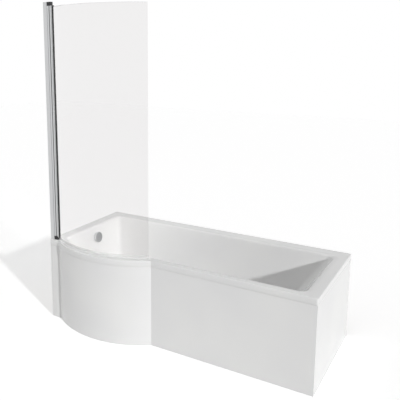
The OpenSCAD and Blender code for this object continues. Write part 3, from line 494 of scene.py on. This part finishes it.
def buildTub():
    # one closed skin through all rings, with the well's floor and its underside as the two caps
    rings = np.array([np.column_stack([ring, np.full(len(ring), z)]) for ring, z in tubLevels()])
    rows, columns = rings.shape[:2]
    mesh = makeMesh("tubShell", rings, gridFaces(rows, columns), outerRows(rows, columns))
    return placePiece("tubShell", mesh, "bath", [finishes["tub"], finishes["laminate"]], "bath_shell")


waste = {"x": xLeft + 290, "y": yWall - 350, "hole": 26, "cutUp": 20}
# two entries bound the knob's face, whose chrome is painted darker as a dark reflection
overflow = {"down": 77, "hole": 21, "cutUp": 15, "knob": 35, "lift": 6, "thick": 13, "spindle": 4,
            "spindleEnd": -36.4, "chamfer": 0.4, "backFlat": 2, "backRound": 1.5, "faceRound": 3.0,
            "dish": ((6, 0.1), (9, 0.7), (20, 1.1)), "dishDepth": 1.2, "darkFaceIn": 2.6, "darkFaceDeep": 1.6,
            "ring": 17, "ringWall": 3, "ringEnd": -14.9, "plateIn": 3, "plateLow": 0.1, "plate": 2.5,
            "plateRound": 1.2, "plateChamfer": 0.5}
cutDown = 20  # how far a cutter reaches past the skin
wellFloor = tub["rimHeight"] - tub["wellDepth"]
overflowPoint = np.array([xLeft + wellSet(overflow["down"], 1, 0)[0], waste["y"],
                          tub["rimHeight"] - overflow["down"]])
lean = math.radians(tub["wallLean"])
overflowAxes = ((math.sin(lean), 0, -math.cos(lean)), (0, 1, 0), (math.cos(lean), 0, math.sin(lean)))
upright = ((1, 0, 0), (0, 1, 0), (0, 0, 1))


def holeCutter(name, radius, up, origin, axes):
    # a plain rod along the third axis
    mesh = latheMesh(name, [(0, -cutDown), (radius, -cutDown), (radius, up), (0, up)], origin, axes)
    cutter = bpy.data.objects.new(name, mesh)
    bpy.context.scene.collection.objects.link(cutter)
    return cutter


def cutHoles(piece, cutters):
    # the piece's mesh becomes what the cutters leave of it, and the cutters go
    for cutter in cutters:
        tool = piece.modifiers.new("hole", "BOOLEAN")
        tool.operation, tool.object, tool.solver = "DIFFERENCE", cutter, "EXACT"
    bpy.context.view_layer.update()
    graph = bpy.context.evaluated_depsgraph_get()
    mesh = bpy.data.meshes.new_from_object(piece.evaluated_get(graph))
    piece.modifiers.clear()
    piece.data = mesh
    mesh.shade_smooth()
    mesh.set_sharp_from_angle(angle=math.radians(35))
    for cutter in cutters:
        bpy.data.objects.remove(cutter)


# a point over the well that every seen face looks at, and how far off the inner skin a face may lie
underside = {"fromLeft": 250, "fromRight": 420, "y": 60.0, "up": 60.0, "near": 0.2, "nearBow": 0.3,
             "stripEnd": 300, "topShare": 0.5}


def paintUnderside(piece):
    # a face is underside where it looks away from the well and lies inside the lip
    c, n = facePlaces(piece.data)
    middleX = np.clip(c[:, 0], xLeft + underside["fromLeft"], xRight - underside["fromRight"])
    wellMiddle = np.column_stack([middleX, np.full(len(c), underside["y"]),
                                  np.full(len(c), tub["rimHeight"] + underside["up"])])
    looksIn = np.sum((wellMiddle - c) * n, 1) > 0
    wall, near = tub["wall"], underside["near"]
    insideBox = ((c[:, 0] > xLeft + wall - near) & (c[:, 0] < xRight - wall + near)
                 & (c[:, 1] < yWall - wall + near))
    fromBow = np.hypot(c[:, 0] - bowCentre[0], c[:, 1] - bowCentre[1])
    insideBow = fromBow < tub["bowRadius"] - wall + underside["nearBow"]
    behindStrip = ((c[:, 1] > yFront - tub["stripOut"] + wall - near)
                   & (c[:, 0] < bowCentre[0] - underside["stripEnd"]))
    insideLip = insideBox & ((c[:, 1] > yFront + wall - near) | insideBow | behindStrip)
    under = ~looksIn & insideLip & (c[:, 2] < tub["rimHeight"] - underside["topShare"] * wall)
    piece.data.polygons.foreach_set("material_index", under.astype(np.int32))
    piece.data.update()


tubPiece = buildTub()
cutHoles(tubPiece, [
    holeCutter("wasteCutter", waste["hole"], waste["cutUp"], (waste["x"], waste["y"], wellFloor), upright),
    holeCutter("overflowCutter", overflow["hole"], overflow["cutUp"], overflowPoint, overflowAxes)])
paintUnderside(tubPiece)
print("tub made:", len(tubPiece.data.polygons), "faces")


panel = {"thick": 3, "back": 3, "joint": 1.5, "tongueHeight": 22, "tongueGap": 0.3, "flange": 14,
         "flangeLow": 0.1, "endGap": 0.3, "edge": 1.0, "clear": 22, "endDepth": 30, "leftReturn": 20,
         "root": 1.4, "step": 0.2, "bowPoints": 161, "endPoints": 12}
panelTop = tub["rimHeight"] - tub["lip"] - panel["joint"]


def panelSections():
    # (inset, height) outlines of the face, of the step and tongue behind the lip, and of the floor flange
    out, inside, edge, thick = panel["back"], panel["back"] + panel["thick"], panel["edge"], panel["thick"]
    tongue = tub["wall"] + panel["tongueGap"]
    tongueTop = tub["rimHeight"] - tub["lip"] + panel["tongueHeight"]
    turns = np.radians([90, 60, 30, 0])
    top = [(out + edge * (1 - math.sin(t)), panelTop - edge * (1 - math.cos(t))) for t in turns]
    face = [(out, 0)] + top + [(inside, panelTop), (inside, 0)]
    # the step and the flange start inside the face, so that no edge is shared
    root, low, rim = inside - panel["root"], panelTop - thick, panelTop - panel["step"]
    step = [(root, rim), (tongue, rim), (tongue, tongueTop), (tongue + thick, tongueTop),
            (tongue + thick, low), (root, low)]
    root, reach = inside - 0.5 * panel["root"], out + panel["flange"]
    flange = [(root, thick), (reach, thick), (reach, panel["flangeLow"]), (root, panel["flangeLow"])]
    return {"face": face, "step": step, "flange": flange}


def frontPath(inset, startX, endX):
    # plan of the front at an inset: left return or a start on the strip, then the bow and the straight run
    front, strip, bow = yFront + inset, yFront - tub["stripOut"] + inset, tub["bowRadius"] - inset
    startBow = turnOf((-math.sqrt(bow ** 2 - (bowCentre[1] - strip) ** 2), strip - bowCentre[1]))
    endBow = turnOf((math.sqrt(bow ** 2 - (bowCentre[1] - front) ** 2), front - bowCentre[1]))
    edge = panel["edge"]
    if startX is None:
        start = [[[xLeft + inset, yFront + panel["leftReturn"]]],
                 arcPoints([xLeft + inset + edge, strip + edge], edge, 180, 270, count=4)]
    else:
        start = [[[startX, strip]]]
    bowRun = arcPoints(bowCentre, bow, startBow, endBow, panel["bowPoints"])
    return np.vstack(start + [bowRun, [[endX, front]]])


def endPath(inset, startY, endY):
    # plan of the end at an inset: one straight run along Y
    count = panel["endPoints"]
    return np.column_stack([np.full(count, xRight - inset), np.linspace(startY, endY, count)])


def sweepSections(name, path, ends):
    # each outline carried along its path, as closed runs of one sheet
    points, faces, caps, start = [], [], [], 0
    for kind, section in panelSections().items():
        plans = np.array([path(inset, *ends[kind]) for inset, _ in section])
        rows, columns = plans.shape[:2]
        heights = np.repeat([[[z]] for _, z in section], columns, 1)
        run = np.concatenate([plans, heights], 2)
        points.append(run.reshape(-1, 3))
        faces.append(gridFaces(rows, columns, True, False) + start)
        caps += outerColumns(rows, columns, start)
        start += rows * columns
    return makeMesh(name, np.vstack(points), np.vstack(faces), caps, sharpAngle=25)


def buildPanels():
    # one sheet bowed round the front, and a flat one across the right end
    frontEnd = xRight - panel["back"]
    inner = frontEnd - panel["endDepth"] - panel["endGap"]
    mesh = sweepSections("frontPanelSheet", frontPath, {
        "face": (None, frontEnd), "step": (xLeft + panel["clear"], inner), "flange": (None, inner)})
    placePiece("frontPanelSheet", mesh, "bath", [finishes["panel"]], "front_panel")
    low, high = yFront + panel["back"] + panel["thick"] + panel["endGap"], yWall - panel["back"]
    mesh = sweepSections("endPanelSheet", endPath, {
        "face": (low, high), "step": (yFront + panel["clear"], yWall - panel["clear"]),
        "flange": (low, high)})
    placePiece("endPanelSheet", mesh, "bath", [finishes["panel"]], "end_panel")


buildPanels()
print("panels made")


screen = {"glass": 6, "glassHeight": 1396, "arris": 0.8, "gap": 14, "pivotX": 50, "pivotY": 10, "span": 667,
          "back": 22, "from": 20, "points": 97}
# the seal's own sizes, and its fin's foot, back and front as offsets from the glass's middle
drip = {"from": 44, "clear": 0.06, "wall": 1.14, "up": 12, "web": 2, "finFoot": 2, "finBack": 2.3,
        "finFront": 3.5, "finOver": 0.5, "corner": 0.4, "steps": 3}
pivot = np.array([xLeft + screen["pivotX"], yFront + screen["pivotY"]])
sag = tub["bowOut"] - screen["back"] + screen["pivotY"]
glassRadius = ((screen["span"] / 2) ** 2 + sag ** 2) / (2 * sag)
glassCentre = pivot + np.array([screen["span"] / 2, glassRadius - sag])
halfTurn = math.degrees(math.asin(screen["span"] / 2 / glassRadius))
degreesPerMm = 180 / (math.pi * glassRadius)
glassLength = 2 * halfTurn / degreesPerMm
glassLow = tub["rimHeight"] + screen["gap"]


def alongGlass(name, section, start, sharpAngle):
    # a closed section of (offset from the glass's middle, height) carried along its arc to its free edge
    section, count = np.asarray(section, float), screen["points"]
    turns = np.radians(270 - halfTurn + np.linspace(start, glassLength, count) * degreesPerMm)
    radii = glassRadius + section[:, 0, None]
    points = np.stack([glassCentre[0] + radii * np.cos(turns), glassCentre[1] + radii * np.sin(turns),
                       np.repeat(section[:, 1, None], count, 1)], -1)
    faces = gridFaces(len(section), count, True, False)
    return makeMesh(name, points, faces, outerColumns(len(section), count), sharpAngle)


def buildGlass():
    # a rectangle whose four corners are ground off
    half, arris = screen["glass"] / 2, screen["arris"]
    low, high = glassLow, glassLow + screen["glassHeight"]
    section = [(-half, low + arris), (-half + arris, low), (half - arris, low), (half, low + arris),
               (half, high - arris), (half - arris, high), (-half + arris, high), (-half, high - arris)]
    mesh = alongGlass("glassSheet", section, screen["from"], sharpAngle=30)
    placePiece("glassSheet", mesh, "screen", [finishes["glass"]], "glass_panel")


def buildDripSeal():
    # a channel that clips on the glass, over a web and a fin that hangs down to the rim
    # a hair's breadth lies between it and the glass, so that no two faces coincide
    inside, up, clear, web = screen["glass"] / 2 + drip["clear"], drip["up"], drip["clear"], drip["web"]
    outside, finLow = inside + drip["wall"], drip["finOver"] - screen["gap"]
    section = roundCorners([(inside, -clear), (inside, up), (outside, up), (outside, -web),
                            (drip["finFoot"], -web), (drip["finFront"], finLow), (drip["finBack"], finLow),
                            (-drip["finFoot"], -web), (-outside, -web), (-outside, up), (-inside, up),
                            (-inside, -clear)], drip["corner"], drip["steps"])
    mesh = alongGlass("dripSeal", section + np.array([0, glassLow]), drip["from"], sharpAngle=40)
    placePiece("dripSeal", mesh, "screen", [finishes["drip"]], "bottom_seal")


buildGlass()
buildDripSeal()
print("screen made")


def edgeArc(radius, height, size, down=False, steps=6):
    # quarter round from the side to the face of a turned piece
    turns = np.radians(np.linspace(0, 90, steps))
    sign = -1 if down else 1
    return [(radius - size + size * math.cos(t), height - sign * size + sign * size * math.sin(t))
            for t in turns]


def buildOverflow():
    # a knob with a dished face on a spindle, in front of a ring with a sleeve through the tub's wall
    k, low, high = overflow["knob"], overflow["lift"], overflow["lift"] + overflow["thick"]
    spindle, end, chamfer = overflow["spindle"], overflow["spindleEnd"], overflow["chamfer"]
    knob = ([(0, end), (spindle - chamfer, end), (spindle, end + chamfer), (spindle, low),
             (k - overflow["backFlat"], low)]
            + edgeArc(k, low, overflow["backRound"], down=True)[::-1]
            + edgeArc(k, high, overflow["faceRound"])
            + [(k - inside, high - deep) for inside, deep in overflow["dish"]]
            + [(0, high - overflow["dishDepth"])])
    mesh = latheMesh("overflowKnobTurned", knob, overflowPoint, overflowAxes, count=120, sharpAngle=30)
    placePiece("overflowKnobTurned", mesh, "knob", [finishes["chrome"], finishes["satinPaintedDarkChrome"]],
               "overflow_knob")
    # the dished face takes the second material: rougher chrome, painted darker as a dark reflection
    out = facePlaces(mesh)[0] - overflowPoint
    axis = np.array(overflowAxes[2])
    height = out @ axis
    radius = np.linalg.norm(out - height[:, None] * axis, axis=1)
    darkFace = (height > high - overflow["darkFaceDeep"]) & (radius < k - overflow["darkFaceIn"])
    mesh.polygons.foreach_set("material_index", darkFace.astype(np.int32))
    r, low, inner = overflow["ring"], overflow["ringEnd"], overflow["ring"] - overflow["ringWall"]
    edge, plateLow, plate = k - overflow["plateIn"], overflow["plateLow"], overflow["plate"]
    bevel = overflow["plateChamfer"]
    ring = ([(inner, low), (r - chamfer, low), (r, low + chamfer), (r, plateLow), (edge, plateLow)]
            + edgeArc(edge, plate, overflow["plateRound"])
            + [(inner + bevel, plate), (inner, plate - bevel), (inner, low)])
    mesh = latheMesh("overflowRingTurned", ring, overflowPoint, overflowAxes, count=120, sharpAngle=30)
    placePiece("overflowRingTurned", mesh, "bath", [finishes["chrome"]], "overflow_ring")


plug = {"radius": 28, "lip": 2.0, "thick": 3.0, "crown": 2.0, "bore": 3.1, "boreDeep": 2.6,
        "footRound": 0.5, "lipIn": 0.4, "lipUp": 0.6, "crownIn": 1.2, "crownPoints": 12}


def buildPlug():
    # a rolled edge and a crown that falls as the square of the radius
    low = boxOf("waste_plug")[0][2]
    r, lip, top, foot = plug["radius"], low + plug["lip"], low + plug["thick"], plug["footRound"]
    crown = [(u * (r - plug["crownIn"]), top + plug["crown"] * (1 - u ** 2))
             for u in np.linspace(1, 0, plug["crownPoints"])]
    profile = ([(0, low + plug["boreDeep"]), (plug["bore"], low + plug["boreDeep"]), (plug["bore"], low),
                (r - foot, low)] + edgeArc(r, low, foot, down=True, steps=4)[::-1]
               + [(r, lip), (r - plug["lipIn"], lip + plug["lipUp"])] + crown)
    mesh = latheMesh("plugTurned", profile, (waste["x"], waste["y"], 0), upright, count=120, sharpAngle=40)
    placePiece("plugTurned", mesh, "plug", [finishes["chrome"]], "waste_plug")


leg = {"radius": 5, "pitch": 1.5, "depth": 0.85, "columns": 24, "perTurn": 6, "taper": 1.2, "tipSize": 0.8,
       "nut": 10, "chamfer": 1.1, "nutFace": 0.97, "coneSlope": 1.73, "nutColumns": 72, "clearance": 0.1}
# the cone's steps are (out from the boss, share of the pad's height)
pad = {"radius": 24, "height": 12, "footRound": 1.2, "brim": 0.3, "brimRound": 1.0,
       "cone": ((2.5, 0.55), (0.6, 0.6), (0, 0.68)), "bossRadius": 10, "bossRound": 0.8, "sink": 5}


def threadMesh(name, place, low, high):
    # radius falls and rises as a rounded vee once a pitch, and the vee climbs one pitch a turn
    count, columns = int((high - low) / leg["pitch"] * leg["perTurn"]), leg["columns"]
    z = np.linspace(low, high, count)[:, None]
    turn = np.linspace(0, 2 * np.pi, columns, endpoint=False)[None]
    phase = (z - low) / leg["pitch"] - turn / (2 * np.pi)
    vee = 0.5 - 0.5 * np.cos(2 * np.pi * phase)
    ends = np.clip(np.minimum(z - low, high - z) / leg["taper"], 0, 1)
    radius = (leg["radius"] - leg["depth"] * vee) * (leg["tipSize"] + (1 - leg["tipSize"]) * ends)
    points = np.stack([place[0] + radius * np.cos(turn), place[1] + radius * np.sin(turn), z + 0 * turn],
                      -1)
    return makeMesh(name, points, gridFaces(count, columns), outerRows(count, columns), sharpAngle=60)


def nutRows(place, low, high):
    # hexagon whose corners are turned off by a cone at each face, round a plain bore
    columns = leg["nutColumns"]
    turn = np.linspace(0, 2 * np.pi, columns, endpoint=False)
    flat = leg["nut"] * math.cos(math.pi / 6)
    hexagon = flat / np.cos((turn % (math.pi / 3)) - math.pi / 6)
    rise = np.linspace(0, 1, 5) * leg["chamfer"]
    heights = np.concatenate([low + rise, (high - rise)[::-1]])
    cone = flat * leg["nutFace"] + rise * leg["coneSlope"]
    outside = np.minimum(hexagon[None], np.concatenate([cone, cone[::-1]])[:, None])
    bore = np.full((1, columns), leg["radius"] + leg["clearance"])
    radius = np.vstack([bore, outside, bore])
    z = np.concatenate([[low], heights, [high]])[:, None] + 0 * turn
    return np.stack([place[0] + radius * np.cos(turn), place[1] + radius * np.sin(turn), z], -1)


def buildNuts(name, node):
    # the four nuts of a node in one mesh
    low, high, _ = boxOf(node)
    nuts = np.array([nutRows(boxOf("stud_" + key)[2], low[2], high[2]) for key in legNames])
    rows, columns = nuts.shape[1:3]
    faces = np.vstack([gridFaces(rows, columns, True) + rows * columns * k for k in range(len(nuts))])
    mesh = makeMesh(name, nuts, faces, sharpAngle=28)
    placePiece(name, mesh, "bath", [finishes["zinc"]], node)


def buildLeg(key):
    # a threaded stud in a pad whose brim runs up by a cone to a boss
    low, high, middle = boxOf("stud_" + key)
    side = key.title().replace("_", "")
    mesh = threadMesh("threadedStud" + side, middle, low[2], high[2])
    placePiece("threadedStud" + side, mesh, "foot_" + key, [finishes["zinc"]], "stud_" + key)
    r, boss, top, bore = pad["radius"], pad["bossRadius"], pad["height"], leg["radius"] + leg["clearance"]
    profile = ([(0, 0)] + edgeArc(r, 0, pad["footRound"], down=True)[::-1]
               + edgeArc(r, pad["brim"] * top, pad["brimRound"])
               + [(boss + out, share * top) for out, share in pad["cone"]]
               + edgeArc(boss, top, pad["bossRound"])
               + [(bore, top), (bore, top - pad["sink"]), (0, top - pad["sink"])])
    mesh = latheMesh("mouldedPad" + side, profile, (*middle[:2], 0), upright, count=72, sharpAngle=30)
    placePiece("mouldedPad" + side, mesh, "foot_" + key, [finishes["blackNylon"]], "pad_" + key)


buildPlug()
for key in legNames:
    buildLeg(key)
buildNuts("insertNutsChamfered", "insert_nuts")
buildNuts("lockNutsChamfered", "lock_nuts")
buildOverflow()
print("fittings made")


# a lamp's turn is measured from +X towards -Y, its height from the floor up
studio = {"floor": "#e9e9e9", "floorReach": 12, "floorDrop": 0.0006, "glow": 0.453, "ambient": 0.25,
          "lampAway": 6}
lamps = {"sun": {"power": 1.96, "angle": 2.6, "turn": 26.0, "height": 23.0},
         "fill": {"power": 1.18, "angle": 80.0, "turn": 172.0, "height": 12.0},
         "top": {"power": 0.20, "angle": 40.0, "turn": 0.0, "height": 86.0}}


def seenRays(tree):
    # 1 on rays that see, be it straight, in a mirror or through glass, and 0 on rays that light
    path = addNode(tree, "ShaderNodeLightPath")
    seen = path.outputs["Is Camera Ray"]
    for kind in ("Is Glossy Ray", "Is Transmission Ray"):
        seen = addNode(tree, "ShaderNodeMath", {"operation": "MAXIMUM"},
                       {0: seen, 1: path.outputs[kind]}).outputs[0]
    return seen


def buildFloor():
    # pale diffuse floor, lifted to white for rays that see it
    reach, z = studio["floorReach"], -studio["floorDrop"]
    mesh = bpy.data.meshes.new("studioFloor")
    mesh.from_pydata([(-reach, -reach, z), (reach, -reach, z), (reach, reach, z), (-reach, reach, z)], [],
                     [(0, 1, 2, 3)])
    floor = bpy.data.objects.new("studioFloor", mesh)
    bpy.context.scene.collection.objects.link(floor)
    material = bpy.data.materials.new("paleStudioFloor")
    material.use_nodes = True
    tree = material.node_tree
    tree.nodes.clear()
    glow = addNode(tree, "ShaderNodeMath", {"operation": "MULTIPLY", 1: studio["glow"]},
                   {0: seenRays(tree)})
    base = addNode(tree, "ShaderNodeBsdfDiffuse", {"Color": linearColour(studio["floor"])})
    lift = addNode(tree, "ShaderNodeEmission", {}, {"Strength": glow.outputs[0]})
    both = addNode(tree, "ShaderNodeAddShader", {}, {0: base.outputs[0], 1: lift.outputs[0]})
    addNode(tree, "ShaderNodeOutputMaterial", {}, {"Surface": both.outputs[0]})
    mesh.materials.append(material)


def buildWorld():
    # white for rays that see it, dim for rays that light the object
    world = bpy.data.worlds.new("studioWorld")
    bpy.context.scene.world = world
    world.use_nodes = True
    tree = world.node_tree
    tree.nodes.clear()
    strength = addNode(tree, "ShaderNodeMapRange", {
        "From Min": 0.0, "From Max": 1.0, "To Min": studio["ambient"], "To Max": 1.0},
        {"Value": seenRays(tree)})
    sky = addNode(tree, "ShaderNodeBackground", {"Color": (1, 1, 1, 1)}, {"Strength": strength.outputs[0]})
    addNode(tree, "ShaderNodeOutputWorld", {}, {"Surface": sky.outputs[0]})


def buildLamps():
    # a sun for the shadow in the tub, and two broad lamps that fill it
    for name, lamp in lamps.items():
        light = bpy.data.lights.new(name + "Lamp", "SUN")
        light.energy, light.angle = lamp["power"], math.radians(lamp["angle"])
        seat = bpy.data.objects.new(name + "Lamp", light)
        bpy.context.scene.collection.objects.link(seat)
        a, e = math.radians(lamp["turn"]), math.radians(lamp["height"])
        toLight = Vector((math.cos(e) * math.cos(a), -math.cos(e) * math.sin(a), math.sin(e)))
        seat.rotation_euler = toLight.to_track_quat("Z", "Y").to_euler()
        seat.location = toLight * studio["lampAway"]
        # the two broad lamps would show as discs in the glass
        seat.visible_glossy = seat.visible_transmission = name == "sun"


view = {"place": (1.4568, -2.762, 1.6524), "turn": 31.202, "dip": 9.708, "lens": 49.35, "sensor": 36,
        "shiftX": 0.10, "shiftY": -0.13, "near": 0.05, "far": 100}


def buildCamera():
    # the photo's viewing angle, with a shift small enough for every other view to keep
    camera = bpy.data.cameras.new("photoCamera")
    camera.lens, camera.sensor_width = view["lens"], view["sensor"]
    camera.shift_x, camera.shift_y = view["shiftX"], view["shiftY"]
    camera.clip_start, camera.clip_end = view["near"], view["far"]
    seat = bpy.data.objects.new("photoCamera", camera)
    bpy.context.scene.collection.objects.link(seat)
    seat.location = view["place"]
    seat.rotation_euler = (math.radians(90 - view["dip"]), 0, math.radians(view["turn"]))
    bpy.context.scene.camera = seat


buildFloor()
buildWorld()
buildLamps()
buildCamera()
bpy.context.scene.view_settings.view_transform = "Standard"
print("studio made")
